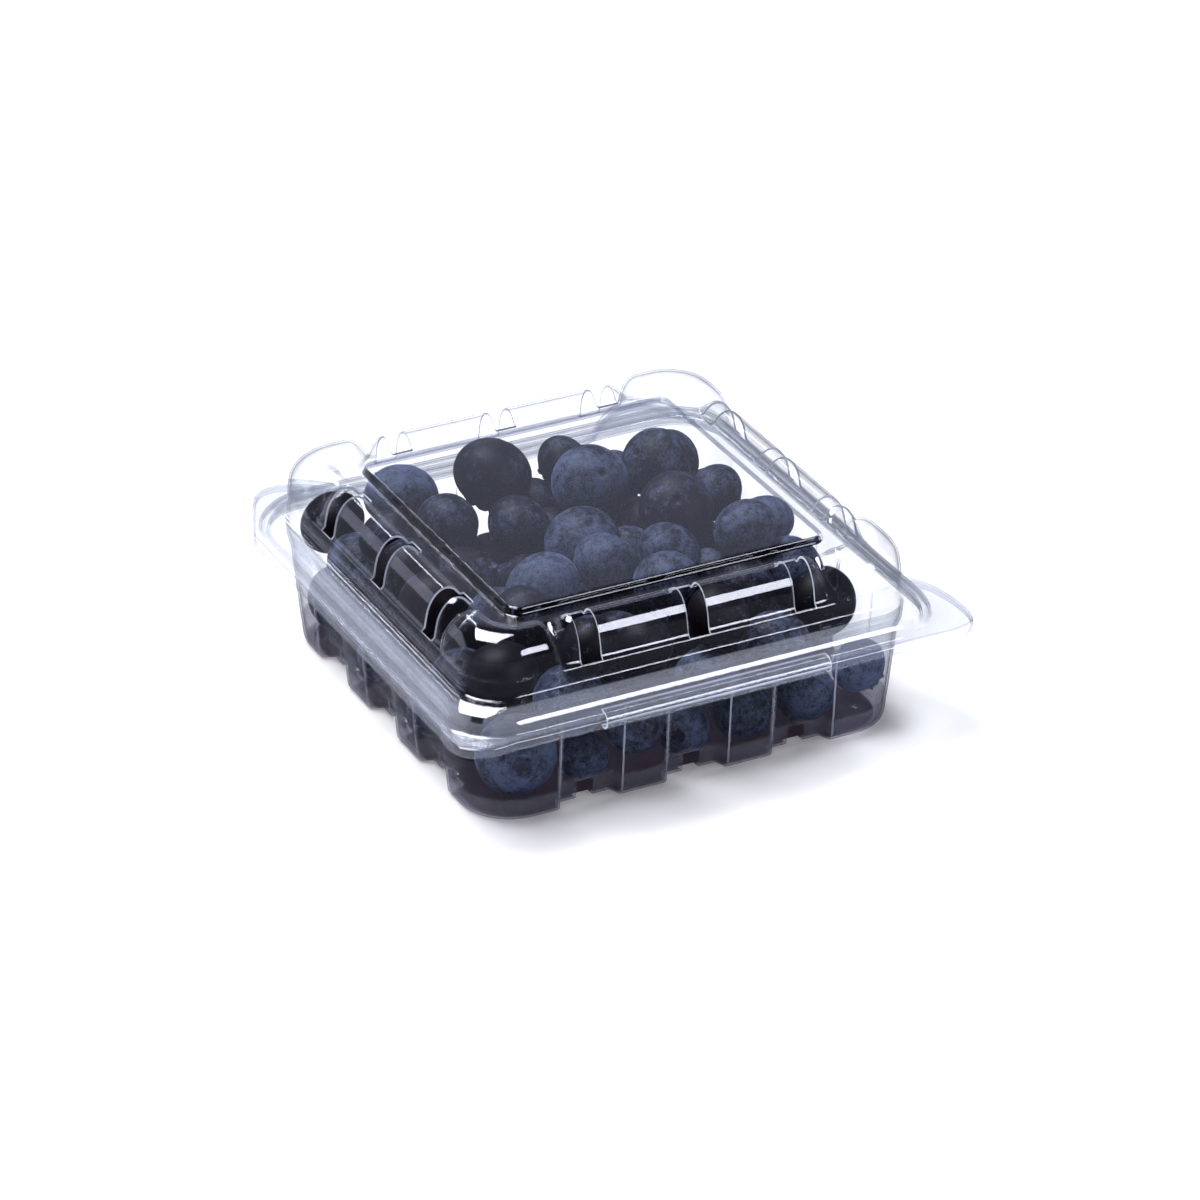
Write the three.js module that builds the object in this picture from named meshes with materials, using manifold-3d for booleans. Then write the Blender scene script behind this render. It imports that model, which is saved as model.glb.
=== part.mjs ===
/**
 * A shut clamshell punnet of blueberries: a clear tray with fluted walls, a hinged lid with a
 * raised panel, vented shoulders and corner domes, and the heap of berries inside it.
 *
 * Millimetres, +Z up. The tray stands on Z = 0 with the middle of its floor at the origin, the
 * hinge is on the -Y side and the lid opens from the +Y side.
 */
import * as THREE from 'three';
import { mergeVertices } from 'three/addons/utils/BufferGeometryUtils.js';
import Module from 'manifold-3d';

const wasm = await Module();
wasm.setup();

// ---------------------------------------------------------------- driving dimensions

const SHEET = 0.5; // thickness of the formed plastic
const CORNER_STEPS = 4; // facets round each corner of the pack

const FLANGE_HALF = 55.3; // half the width over the flanges
const RIM_RADIUS = 12.4; // corner radius at the flange's edge
const RADIUS_SLOPE = 0.55; // how fast the corner radius falls from the flange inwards
const TRAY_FLANGE_TOP = 23.6;
const LID_FLANGE_FOOT = 23.9;
const LIP_FOOT = 21.6; // lower edge of the tray's turned-down lip

const PANEL_TOP = 41.0; // the lid's raised middle panel
const PANEL_HALF = 35.0;
const GROOVE_TOP = 39.3; // the flat between the panel and the shoulder
const SHOULDER_FOOT = 33.4;

const VENT_PITCH = 23.9; // from one vent to the next along a side
const VENT_PLACES = [-VENT_PITCH, 0, VENT_PITCH];
const LID_VENT_WIDTH = 4.6;
const TRAY_VENT_WIDTH = 4.0;
const TRAY_VENT_TOP = 4.7;

const BAY_HALF = 5.8; // the recessed bay round each vent in the tray's walls
const BAY_FLANK = 1.0;
const BAY_STEP_FOOT = 4.9;
const BAY_STEP_TOP = 5.8;
const BAY_DEPTH_LOW = 2.6;
const BAY_DEPTH_HIGH = 1.2;

const VALLEY_AT = 30.0; // the dip between a side's shoulder and the corner dome
const VALLEY_HALF = 1.7;
const VALLEY_DEPTH = 0.85; // share of the shoulder's bulge that the dip takes away
const DOME_START = 31.8;

const HINGE_HALF_LENGTH = 25;
const HINGE_RADIUS = 2.0;
const HINGE_AXIS_Z = (TRAY_FLANGE_TOP + LID_FLANGE_FOOT) / 2;
const HINGE_GAP = 0.15; // each half of the hinge bead stops this far from the axis

const COLOURS = { plastic: 0xe9edf2, berry: 0x2b3350 };

// ---------------------------------------------------------------- solids

/** Turns a closed geometry into a solid that can be joined and cut. */
function toSolid(geometry) {
  const bare = geometry.clone();
  bare.deleteAttribute('normal');
  bare.deleteAttribute('uv');
  const merged = mergeVertices(bare, 1e-4);
  const mesh = new wasm.Mesh({
    numProp: 3,
    vertProperties: new Float32Array(merged.attributes.position.array),
    triVerts: new Uint32Array(merged.index.array),
  });
  mesh.merge();
  return new wasm.Manifold(mesh);
}

/** Turns a solid back into a geometry. */
function toGeometry(solid) {
  const mesh = solid.getMesh();
  const geometry = new THREE.BufferGeometry();
  geometry.setAttribute('position', new THREE.BufferAttribute(mesh.vertProperties, mesh.numProp));
  geometry.setIndex(new THREE.BufferAttribute(mesh.triVerts, 1));
  geometry.computeVertexNormals();
  return geometry;
}

/** Joins any number of solids into one. */
function joinAll(solids) {
  return solids.reduce((whole, solid) => whole.add(solid));
}

/** A flat outline raised from one height to another. */
function raised(outline, foot, top) {
  const options = { depth: top - foot, bevelEnabled: false, curveSegments: 3 };
  return new THREE.ExtrudeGeometry(outline, options).translate(0, 0, foot);
}

// ---------------------------------------------------------------- formed sheet

/** Corner radius of the rim at a given half-width. */
function rimRadius(half) {
  return RIM_RADIUS - (FLANGE_HALF - half) * RADIUS_SLOPE;
}

/** Corner positions of a path, moved sideways by the sheet's thickness. */
function offsetPath(path, distance) {
  const normals = path.map((point, i) => {
    const before = i === 0 ? { half: 0, z: point.z } : path[i - 1];
    const run = point.half - before.half;
    const rise = point.z - before.z;
    const length = Math.hypot(run, rise);
    return [rise / length, -run / length];
  });
  return path.map((point, i) => {
    const [ax, az] = normals[i];
    const [bx, bz] = normals[Math.min(i + 1, path.length - 1)];
    const scale = distance / (1 + ax * bx + az * bz);
    const shift = (ax + bx) * scale;
    const z = point.z + (az + bz) * scale;
    return { ...point, half: point.half + shift, radius: point.radius + shift, z };
  });
}

/** One ring of the sheet: a rounded square, with each point moved by the form's own relief. */
function ringPoints(ring, stations, relief) {
  const straight = ring.half - ring.radius;
  const points = [];
  for (let side = 0; side < 4; side += 1) {
    const turn = (side * Math.PI) / 2;
    const place = (x, y, along) => {
      const { out, up } = relief(ring, along);
      const length = Math.hypot(x, y);
      const flat = Math.abs(along) < straight;
      const px = flat ? x : x + (out * x) / length;
      const py = flat ? y - out : y + (out * y) / length;
      const cos = Math.cos(turn);
      const sin = Math.sin(turn);
      points.push([px * cos - py * sin, px * sin + py * cos, ring.z + up]);
    };
    for (const s of [-straight, ...stations, straight]) place(s, -ring.half, s);
    for (let step = 1; step < CORNER_STEPS; step += 1) {
      const angle = ((step / CORNER_STEPS) * Math.PI) / 2;
      const x = straight + ring.radius * Math.sin(angle);
      const y = -straight - ring.radius * Math.cos(angle);
      place(x, y, Infinity);
    }
  }
  return points;
}

/** A closed shell: the path's rings on one face, the same rings moved by the thickness on the other. */
function formedSheet(path, thickness, stations, relief) {
  const faces = [path, offsetPath(path, thickness)];
  const rings = faces.map((face) => face.map((ring) => ringPoints(ring, stations, relief)));
  const count = rings[0][0].length;
  const positions = [];
  const triangles = [];
  const indexOf = (face, ring, i) => 1 + face * (1 + path.length * count) + ring * count + (i % count);
  rings.forEach((face, f) => {
    positions.push([0, 0, faces[f][0].z], ...face.flat());
  });
  const addTriangle = (a, b, c, flip) => triangles.push(...(flip ? [a, c, b] : [a, b, c]));
  for (let f = 0; f < 2; f += 1) {
    const centre = indexOf(f, 0, 0) - 1;
    for (let i = 0; i < count; i += 1) {
      addTriangle(centre, indexOf(f, 0, i), indexOf(f, 0, i + 1), f === 1);
      for (let r = 0; r + 1 < path.length; r += 1) {
        const [a, b] = [indexOf(f, r, i), indexOf(f, r, i + 1)];
        const [c, d] = [indexOf(f, r + 1, i), indexOf(f, r + 1, i + 1)];
        addTriangle(a, c, d, f === 1);
        addTriangle(a, d, b, f === 1);
      }
    }
  }
  const last = path.length - 1;
  for (let i = 0; i < count; i += 1) {
    const [a, b] = [indexOf(0, last, i), indexOf(0, last, i + 1)];
    const [c, d] = [indexOf(1, last, i), indexOf(1, last, i + 1)];
    addTriangle(a, c, d, false);
    addTriangle(a, d, b, false);
  }
  const geometry = new THREE.BufferGeometry();
  const ordered = thickness > 0 ? triangles : flipAll(triangles);
  geometry.setAttribute('position', new THREE.Float32BufferAttribute(positions.flat(), 3));
  geometry.setIndex(ordered);
  return toSolid(geometry);
}

/** Turns every triangle over. */
function flipAll(triangles) {
  const turned = [];
  for (let i = 0; i < triangles.length; i += 3) {
    turned.push(triangles[i], triangles[i + 2], triangles[i + 1]);
  }
  return turned;
}

// ---------------------------------------------------------------- flange ears

/** Outlines of the four ears, each drawn round the pack's corner that it belongs to. */
function earOutlines() {
  const edge = FLANGE_HALF - 0.6;
  const hingeLeft = new THREE.Shape();
  hingeLeft.moveTo(-42, -42);
  hingeLeft.lineTo(-edge, -42);
  hingeLeft.quadraticCurveTo(-55.9, -46, -55.6, -49.5);
  hingeLeft.quadraticCurveTo(-55, -55, -49.5, -55.6);
  hingeLeft.quadraticCurveTo(-46, -55.9, -42, -edge);

  const hingeRight = new THREE.Shape();
  hingeRight.moveTo(42, -42);
  hingeRight.lineTo(42, -edge);
  hingeRight.lineTo(46, -FLANGE_HALF);
  hingeRight.lineTo(55, -FLANGE_HALF);
  hingeRight.quadraticCurveTo(61.6, -54.5, 62, -47.5);
  hingeRight.quadraticCurveTo(62.2, -40, 60.4, -35);
  hingeRight.quadraticCurveTo(58.4, -31, edge, -28);
  hingeRight.lineTo(42, -28);

  const opening = (side) => {
    const outline = new THREE.Shape();
    outline.moveTo(side * 28, 42);
    outline.lineTo(side * 28, edge);
    outline.quadraticCurveTo(side * 31, 59.5, side * 37, 64.0);
    outline.quadraticCurveTo(side * 45.4, 68.6, side * 48.8, 60.5);
    outline.lineTo(side * FLANGE_HALF, 46);
    outline.lineTo(side * edge, 42);
    return outline;
  };
  return [hingeLeft, hingeRight, opening(-1), opening(1)];
}

/** The flat ears at one level, clear of everything inside the rim of the given half-width. */
function earPlates(foot, top, innerHalf) {
  const radius = rimRadius(innerHalf);
  const inside = toSolid(raised(arcSquare(innerHalf, radius), foot - 1, top + 1));
  const plates = earOutlines().map((outline) => toSolid(raised(outline, foot, top)));
  return joinAll(plates).subtract(inside);
}

/** A square with round corners made of true arcs. */
function arcSquare(half, radius) {
  const outline = new THREE.Shape();
  const inner = half - radius;
  for (let corner = 0; corner < 4; corner += 1) {
    for (let step = 0; step <= CORNER_STEPS; step += 1) {
      const angle = (corner + step / CORNER_STEPS) * (Math.PI / 2);
      const cornerX = corner === 0 || corner === 3 ? inner : -inner;
      const cornerY = corner < 2 ? inner : -inner;
      const x = cornerX + radius * Math.cos(angle);
      const y = cornerY + radius * Math.sin(angle);
      if (corner === 0 && step === 0) outline.moveTo(x, y);
      else outline.lineTo(x, y);
    }
  }
  return outline;
}

// ---------------------------------------------------------------- hinge bead

/** One half of the rolled hinge: a quarter-round strip above (+1) or below (-1) the hinge axis. */
function hingeHalf(direction) {
  const centreY = -FLANGE_HALF;
  const section = new THREE.Shape();
  const steps = 4;
  const gapAngle = Math.asin(HINGE_GAP / HINGE_RADIUS);
  const arc = (radius, from, to) => {
    for (let i = 0; i <= steps; i += 1) {
      const angle = from + ((to - from) * i) / steps;
      const y = centreY - radius * Math.cos(angle);
      const z = HINGE_AXIS_Z + direction * radius * Math.sin(angle);
      if (section.curves.length === 0 && i === 0) section.moveTo(y, z);
      section.lineTo(y, z);
    }
  };
  arc(HINGE_RADIUS, gapAngle, Math.PI / 2);
  section.lineTo(centreY + 1, HINGE_AXIS_Z + direction * HINGE_RADIUS);
  section.lineTo(centreY + 1, HINGE_AXIS_Z + direction * (HINGE_RADIUS - SHEET));
  arc(HINGE_RADIUS - SHEET, Math.PI / 2, gapAngle);
  const options = { depth: 2 * HINGE_HALF_LENGTH, bevelEnabled: false };
  const geometry = new THREE.ExtrudeGeometry(section, options);
  geometry.applyMatrix4(new THREE.Matrix4().makeBasis(
    new THREE.Vector3(0, 1, 0),
    new THREE.Vector3(0, 0, 1),
    new THREE.Vector3(1, 0, 0),
  ));
  return toSolid(geometry.translate(-HINGE_HALF_LENGTH, 0, 0));
}

// ---------------------------------------------------------------- vents

/** Twelve cutters, three to a side, made from one outline drawn on the -Y side. */
function ventCutters(width, nearHalf, farHalf, foot, top) {
  const cutters = [];
  for (let side = 0; side < 4; side += 1) {
    for (const place of VENT_PLACES) {
      const block = new THREE.BoxGeometry(width, farHalf - nearHalf, top - foot);
      block.translate(place, -(nearHalf + farHalf) / 2, (foot + top) / 2);
      cutters.push(toSolid(block.rotateZ((side * Math.PI) / 2)));
    }
  }
  return joinAll(cutters);
}

// ---------------------------------------------------------------- lid

/** The shoulder's cross-section from the groove's end to its foot, and how far a dome stands out of it. */
const SHOULDER = [
  { half: 39.8, z: GROOVE_TOP, radius: 6.0, domeOut: 0, domeUp: 0 },
  { half: 41.1, z: 40.8, radius: 6.4, domeOut: 0.1, domeUp: 0.2 },
  { half: 43.0, z: 41.4, radius: 7.0, domeOut: 0.5, domeUp: 0.5 },
  { half: 45.2, z: 40.4, radius: 7.6, domeOut: 1.2, domeUp: 0.5 },
  { half: 47.0, z: 37.6, radius: 8.0, domeOut: 1.7, domeUp: 0.3 },
  { half: 47.9, z: SHOULDER_FOOT, radius: 8.3, domeOut: 1.3, domeUp: 0 },
];

/** The lid's upper face, from the panel's edge out to the flange. */
function lidPath() {
  const shoulder = SHOULDER.map((point, i) => {
    const share = i / (SHOULDER.length - 1);
    const first = SHOULDER[0];
    const last = SHOULDER[SHOULDER.length - 1];
    const bulgeOut = point.half - (first.half + share * (last.half - first.half));
    const bulgeUp = point.z - (first.z + share * (last.z - first.z));
    return { ...point, bulgeOut, bulgeUp };
  });
  const rim = [
    [48.8, 32.7], [49.2, 29.3], [50.8, 29.2], [53.2, 27.8], [54.3, 26.0],
    [54.4, LID_FLANGE_FOOT + SHEET], [FLANGE_HALF, LID_FLANGE_FOOT + SHEET],
  ].map(([half, z]) => ({ half, z, radius: rimRadius(half) }));
  return [
    { half: PANEL_HALF, z: PANEL_TOP, radius: 2.6 },
    { half: PANEL_HALF + 1, z: GROOVE_TOP, radius: 3.2 },
    ...shoulder,
    ...rim,
  ];
}

/** The lid's relief: the shoulder shrinks in the valleys and swells in the corner domes. */
function lidRelief(ring, along) {
  if (ring.bulgeOut === undefined) return { out: 0, up: 0 };
  const distance = Math.min(Math.abs(along), FLANGE_HALF);
  const valley = VALLEY_DEPTH * Math.exp(-(((distance - VALLEY_AT) / VALLEY_HALF) ** 2));
  const dome = THREE.MathUtils.smoothstep(distance, VALLEY_AT, DOME_START);
  return {
    out: dome * ring.domeOut - valley * ring.bulgeOut,
    up: dome * ring.domeUp - valley * ring.bulgeUp,
  };
}

/** The lid: panel, groove, vented shoulder with corner domes, rim, flange, ears and hinge half. */
function makeLid() {
  const half = [VALLEY_AT - 2.6, VALLEY_AT, DOME_START];
  const stations = [...half.map((s) => -s).reverse(), ...half];
  const sheet = formedSheet(lidPath(), SHEET, stations, lidRelief);
  const vents = ventCutters(LID_VENT_WIDTH, 39.0, 48.7, 32.2, 44);
  const ears = earPlates(LID_FLANGE_FOOT, LID_FLANGE_FOOT + SHEET, 54.85);
  return sheet.subtract(vents).add(ears).add(hingeHalf(1));
}

// ---------------------------------------------------------------- tray

/** The tray's outer face, from the middle of the floor up the wall, over the bead and down the lip. */
function trayPath() {
  const wall = [
    [46.4, 0, BAY_DEPTH_LOW, 10.2],
    [47.3, 0.35, BAY_DEPTH_LOW, 10.7],
    [47.65, 1.5, BAY_DEPTH_LOW, 11.0],
    [47.9, BAY_STEP_FOOT, BAY_DEPTH_LOW, 11.0],
    [48.0, BAY_STEP_TOP, BAY_DEPTH_HIGH, 11.0],
    [49.2, 22.0, BAY_DEPTH_HIGH, 10.8],
  ].map(([half, z, bay, radius]) => ({ half, z, bay, radius }));
  const bead = [
    [49.5, 27.4], [50.7, 27.5], [52.4, 25.6], [52.7, TRAY_FLANGE_TOP - SHEET],
    [FLANGE_HALF - SHEET, TRAY_FLANGE_TOP - SHEET],
    [FLANGE_HALF - SHEET, LIP_FOOT],
  ].map(([half, z]) => ({ half, z, bay: 0, radius: rimRadius(half) }));
  return [...wall, ...bead];
}

/** The tray's relief: each wall is pushed in round its vents. */
function trayRelief(ring, along) {
  if (ring.bay === 0 || along === Infinity) return { out: 0, up: 0 };
  const nearest = Math.min(...VENT_PLACES.map((place) => Math.abs(along - place)));
  const share = 1 - THREE.MathUtils.clamp((nearest - BAY_HALF) / BAY_FLANK, 0, 1);
  return { out: -ring.bay * share, up: 0 };
}

/** A turned-down lip along the free edge of the tray's ears. */
function earLips() {
  const outer = earPlates(LIP_FOOT, TRAY_FLANGE_TOP, FLANGE_HALF - 1);
  const shrink = (FLANGE_HALF - SHEET) / FLANGE_HALF;
  const hollows = earOutlines().map((outline) => {
    const block = raised(outline, 0, TRAY_FLANGE_TOP - SHEET);
    return toSolid(block.scale(shrink, shrink, 1));
  });
  return outer.subtract(joinAll(hollows));
}

/** The tray: floor, fluted and vented walls, rolled bead, flange with a lip, ears and hinge half. */
function makeTray() {
  const flank = BAY_HALF + BAY_FLANK;
  const bayEdges = [-flank, -BAY_HALF, BAY_HALF, flank];
  const stations = VENT_PLACES.flatMap((place) => bayEdges.map((edge) => place + edge));
  const sheet = formedSheet(trayPath(), -SHEET, stations, trayRelief);
  const vents = ventCutters(TRAY_VENT_WIDTH, 41.5, 52, -1, TRAY_VENT_TOP);
  return sheet.subtract(vents).add(earLips()).add(hingeHalf(-1));
}

// ---------------------------------------------------------------- berries

/** Berries of the top layer and the front row, each as x, y, height of its middle and diameter. */
const PLACED_BERRIES = [
  [-25.5, 36.8, 30.0, 15.6], [-3.8, 38.0, 29.8, 16.8], [12.7, 37.8, 28.8, 11.8],
  [11.5, 22.8, 31.0, 16.6], [27.9, 25.1, 31.0, 15.0], [22.3, 4.8, 31.0, 16.0],
  [36.0, 13.5, 27.6, 12.4], [31.2, -9.0, 30.6, 13.6], [39.7, -1.7, 27.0, 12.0],
  [-0.6, 2.0, 29.4, 16.4], [-2.6, -11.8, 32.4, 13.4], [-17.9, -14.3, 31.5, 16.0],
  [13.4, -9.3, 29.6, 13.6], [6.0, -21.7, 31.0, 13.4], [-8.1, 16.4, 28.6, 14.0],
  [-22.6, 20.4, 31.2, 13.0],
  [-36.2, -38.9, 10.3, 16.6], [-11.2, -41.0, 12.4, 13.0], [1.1, -39.0, 6.7, 11.4],
  [15.0, -38.7, 7.2, 12.6], [29.6, -38.0, 8.0, 13.8], [40.6, -40.8, 11.8, 11.8],
  [-21.6, -39.1, 6.6, 10.8], [-39.6, -23.4, 7.4, 12.4], [-41.0, -11.4, 8.0, 12.6],
  [-41.2, 12.0, 8.2, 12.2],
];

const LAYERS = [
  { z: 8.0, count: 6, pitch: 15.6, buried: false },
  { z: 19.0, count: 6, pitch: 15.6, buried: true },
  { z: 29.5, count: 6, pitch: 15.6, buried: false },
];
const FILLER_DIAMETER = [12.6, 15.6];
const FILLER_JITTER = 1.6;
const SETTLE_ROUNDS = 60;
const WALL_GAP = 0.45; // berries stay this far inside the tray and the lid
const FILLER_SWELL = 1.06; // few-sided fillers are drawn this much larger, to keep their volume
const HEADROOM = { x: 35, y: 24, z: 24 }; // above z, no filler lies past x or y: the pack is less full there
const WALL_FOOT_HALF = 47.5; // half the width between the walls at the floor
const WALL_LEAN = 0.08; // how far a wall leans out for each millimetre of height
const WALL_TOP = 22;
const CORNER_MIDDLE = 37.0; // where the corner's curve starts, at the floor
const CORNER_ROOM = 10.6; // the corner's radius
const SHOULDER_START = 30; // above this height the lid's shoulder crowds the berries in
const SHOULDER_CROWDING = 0.35;
const FREE_SHARE = 0.72; // a filler may start this near to another, as a share of touching
const TOUCH_SHARE = 0.97; // settled berries are pressed together this much
const BERRY_FLATNESS = 0.88;

/** A repeatable stream of numbers from 0 to 1. */
function randomStream(seed) {
  let state = seed;
  return () => {
    state = (state * 16807) % 2147483647;
    return state / 2147483647;
  };
}

/** How far out a berry's middle may lie towards a wall: less where the wall's bays stand in its way. */
function roomFor(berry, reach, along) {
  const wall = WALL_FOOT_HALF - SHEET - WALL_GAP + Math.min(berry.z, WALL_TOP) * WALL_LEAN;
  const toBay = Math.min(...VENT_PLACES.map((place) => Math.abs(along - place))) - BAY_HALF - BAY_FLANK;
  const beside = Math.sqrt(Math.max(0, reach * reach - Math.max(0, toBay) ** 2));
  const overStep = Math.max(0, berry.z - BAY_STEP_TOP);
  const atStep = Math.sqrt(Math.max(0, beside * beside - overStep * overStep));
  const underShoulder = Math.max(0, berry.z - SHOULDER_START) * SHOULDER_CROWDING;
  const room = Math.min(wall - reach, wall - BAY_DEPTH_HIGH - beside, wall - BAY_DEPTH_LOW - atStep);
  return room - underShoulder;
}

/** Draws a berry back from the round corner between two walls. */
function clearOfCorner(berry, reach) {
  const corner = CORNER_MIDDLE + Math.min(berry.z, WALL_TOP) * WALL_LEAN;
  const overX = Math.max(0, Math.abs(berry.x) - corner);
  const overY = Math.max(0, Math.abs(berry.y) - corner);
  const spare = Math.max(0, CORNER_ROOM - SHEET - WALL_GAP - reach);
  const distance = Math.hypot(overX, overY);
  if (distance <= spare) return;
  berry.x -= Math.sign(berry.x) * overX * (1 - spare / distance);
  berry.y -= Math.sign(berry.y) * overY * (1 - spare / distance);
}

/** How high a berry's middle may lie: lower under the groove than under the panel. */
function ceilingFor(berry, reach) {
  const underPanel = Math.max(Math.abs(berry.x), Math.abs(berry.y)) + reach * 0.7 < PANEL_HALF;
  return (underPanel ? PANEL_TOP : GROOVE_TOP) - SHEET - WALL_GAP - reach;
}

/** Every berry in the pack: the placed ones first, then rows of fillers with a little disorder. */
function berryList() {
  const random = randomStream(20260);
  const berries = PLACED_BERRIES.map(([x, y, z, d]) => ({ x, y, z, r: d / 2, placed: true }));
  for (const layer of LAYERS) {
    for (let row = 0; row < layer.count; row += 1) {
      for (let column = 0; column < layer.count; column += 1) {
        const edge = row % (layer.count - 1) === 0 || column % (layer.count - 1) === 0;
        const middle = (layer.count - 1) / 2;
        const jitter = () => (random() - 0.5) * 2 * FILLER_JITTER;
        const x = (column - middle) * layer.pitch + jitter();
        const y = (row - middle) * layer.pitch + jitter();
        const z = layer.z + jitter() * 0.5;
        const r = (FILLER_DIAMETER[0] + random() * (FILLER_DIAMETER[1] - FILLER_DIAMETER[0])) / 2;
        const spare = z > HEADROOM.z && (x > HEADROOM.x || y > HEADROOM.y);
        const buried = layer.buried && !edge;
        const free = berries.every((other) => {
          const gap = Math.hypot(other.x - x, other.y - y, other.z - z);
          return gap > (other.r + r) * FREE_SHARE;
        });
        if (free && !spare) berries.push({ x, y, z, r, placed: false, buried });
      }
    }
  }
  return settle(berries);
}

/** Pushes overlapping berries apart and keeps them all inside the pack. */
function settle(berries) {
  for (let round = 0; round < SETTLE_ROUNDS; round += 1) {
    for (let i = 0; i < berries.length; i += 1) {
      for (let j = i + 1; j < berries.length; j += 1) {
        const [a, b] = [berries[i], berries[j]];
        const [dx, dy, dz] = [b.x - a.x, b.y - a.y, b.z - a.z];
        const distance = Math.sqrt(dx * dx + dy * dy + dz * dz);
        const overlap = (a.r + b.r) * TOUCH_SHARE - distance;
        if (overlap > 0) {
          const shareA = a.placed === b.placed ? 0.5 : Number(b.placed);
          const push = overlap / distance;
          a.x -= dx * push * shareA;
          a.y -= dy * push * shareA;
          a.z -= dz * push * shareA;
          b.x += dx * push * (1 - shareA);
          b.y += dy * push * (1 - shareA);
          b.z += dz * push * (1 - shareA);
        }
      }
    }
    for (const berry of berries) {
      const reach = berry.placed ? berry.r : berry.r * FILLER_SWELL;
      const roomX = roomFor(berry, reach, berry.y);
      berry.x = Math.max(-roomX, Math.min(roomX, berry.x));
      const roomY = roomFor(berry, reach, berry.x);
      berry.y = Math.max(-roomY, Math.min(roomY, berry.y));
      clearOfCorner(berry, reach);
      berry.z = Math.max(SHEET + WALL_GAP + reach, Math.min(ceilingFor(berry, reach), berry.z));
    }
  }
  return berries;
}

/** One berry: a slightly flattened ball with few sides, fewer on the fillers, tilted its own way. */
function berrySolid(berry, random) {
  const geometry = berry.placed
    ? new THREE.IcosahedronGeometry(berry.r, 1)
    : new THREE.DodecahedronGeometry(berry.r * FILLER_SWELL, 0);
  const tilt = new THREE.Euler(random() * Math.PI, random() * Math.PI, 0);
  geometry.scale(1, 1, BERRY_FLATNESS);
  geometry.applyMatrix4(new THREE.Matrix4().makeRotationFromEuler(tilt));
  return toSolid(geometry.translate(berry.x, berry.y, berry.z));
}

/** The heap: every berry that shows, fused to a core that stands for the buried ones. */
function makeHeap() {
  const random = randomStream(77);
  const core = [raised(arcSquare(40, 8), 7, 24), raised(arcSquare(36, 8), 22, 28)].map(toSolid);
  const shown = berryList().filter((berry) => !berry.buried);
  return joinAll([...core, ...shown.map((berry) => berrySolid(berry, random))]);
}

// ---------------------------------------------------------------- assembly

/** A named mesh with its own material. */
function namedMesh(name, solid, material) {
  const mesh = new THREE.Mesh(toGeometry(solid), material);
  mesh.name = name;
  return mesh;
}

const clearPlastic = () => new THREE.MeshStandardMaterial({
  color: COLOURS.plastic, roughness: 0.06, metalness: 0, transparent: true, opacity: 0.3,
});
const berrySkin = new THREE.MeshStandardMaterial({ color: COLOURS.berry, roughness: 0.55, metalness: 0 });

const punnet = new THREE.Group();
punnet.add(namedMesh('punnet_tray', makeTray(), clearPlastic()));
punnet.add(namedMesh('punnet_lid', makeLid(), clearPlastic()));
punnet.add(namedMesh('blueberry_heap', makeHeap(), berrySkin));

export default punnet;
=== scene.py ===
# %% [markdown]
# # A clear punnet of blueberries
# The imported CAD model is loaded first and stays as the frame: it says where everything is and how the lid
# turns. Each CAD node is then replaced by a piece with the real thing's forms: a thin formed tray, a thin
# formed lid and loose berries. Everything is in metres; the pack is drawn in millimetres and turned to
# metres by one factor.

# %% Load the frame
import math

import bmesh
import bpy
from mathutils import Matrix, Vector


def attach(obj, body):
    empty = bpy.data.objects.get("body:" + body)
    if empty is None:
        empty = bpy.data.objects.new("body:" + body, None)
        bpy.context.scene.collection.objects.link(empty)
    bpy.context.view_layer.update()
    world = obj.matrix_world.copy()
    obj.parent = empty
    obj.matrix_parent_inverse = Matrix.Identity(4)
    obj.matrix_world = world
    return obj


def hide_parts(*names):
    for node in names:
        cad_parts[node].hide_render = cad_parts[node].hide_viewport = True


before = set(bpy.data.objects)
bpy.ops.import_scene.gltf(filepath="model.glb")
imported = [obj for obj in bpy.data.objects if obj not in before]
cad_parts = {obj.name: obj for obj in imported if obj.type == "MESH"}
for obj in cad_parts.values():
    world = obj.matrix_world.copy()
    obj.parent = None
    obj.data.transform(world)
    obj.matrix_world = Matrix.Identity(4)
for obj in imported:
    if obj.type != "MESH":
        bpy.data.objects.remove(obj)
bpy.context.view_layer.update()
MM = 0.001
scene = bpy.context.scene

# %% [markdown]
# ## The camera
# A long lens from a little over a metre keeps the pack's parallel edges nearly parallel, as a catalogue
# picture of a small pack does. Two angles give the direction it looks in, and the camera is moved back
# along that direction from the point it aims at.

# %% Camera
CAMERA_AZIMUTH = math.radians(26.85)
CAMERA_ELEVATION = math.radians(28.70)
CAMERA_DISTANCE = 1.180
LENS_MM, SENSOR_MM = 172.2, 36.0
FARTHEST_SEEN = 20.0
AIM_HEIGHT, AIM_RIGHT, AIM_DOWN = 20.4 * MM, 1.99 * MM, 2.78 * MM

forward = Vector((
    math.sin(CAMERA_AZIMUTH) * math.cos(CAMERA_ELEVATION),
    math.cos(CAMERA_AZIMUTH) * math.cos(CAMERA_ELEVATION),
    -math.sin(CAMERA_ELEVATION),
))
turn = forward.to_track_quat("-Z", "Y")
rightward, upward = turn @ Vector((1, 0, 0)), turn @ Vector((0, 1, 0))
aim = Vector((0, 0, AIM_HEIGHT)) + rightward * AIM_RIGHT - upward * AIM_DOWN

camera_data = bpy.data.cameras.new("camera")
camera_data.sensor_width = SENSOR_MM
camera_data.lens = LENS_MM
camera_data.clip_end = FARTHEST_SEEN
camera = bpy.data.objects.new("camera", camera_data)
camera.rotation_euler = turn.to_euler()
camera.location = aim - forward * CAMERA_DISTANCE
scene.collection.objects.link(camera)
scene.camera = camera
print("camera at", tuple(round(value, 4) for value in camera.location))

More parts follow.
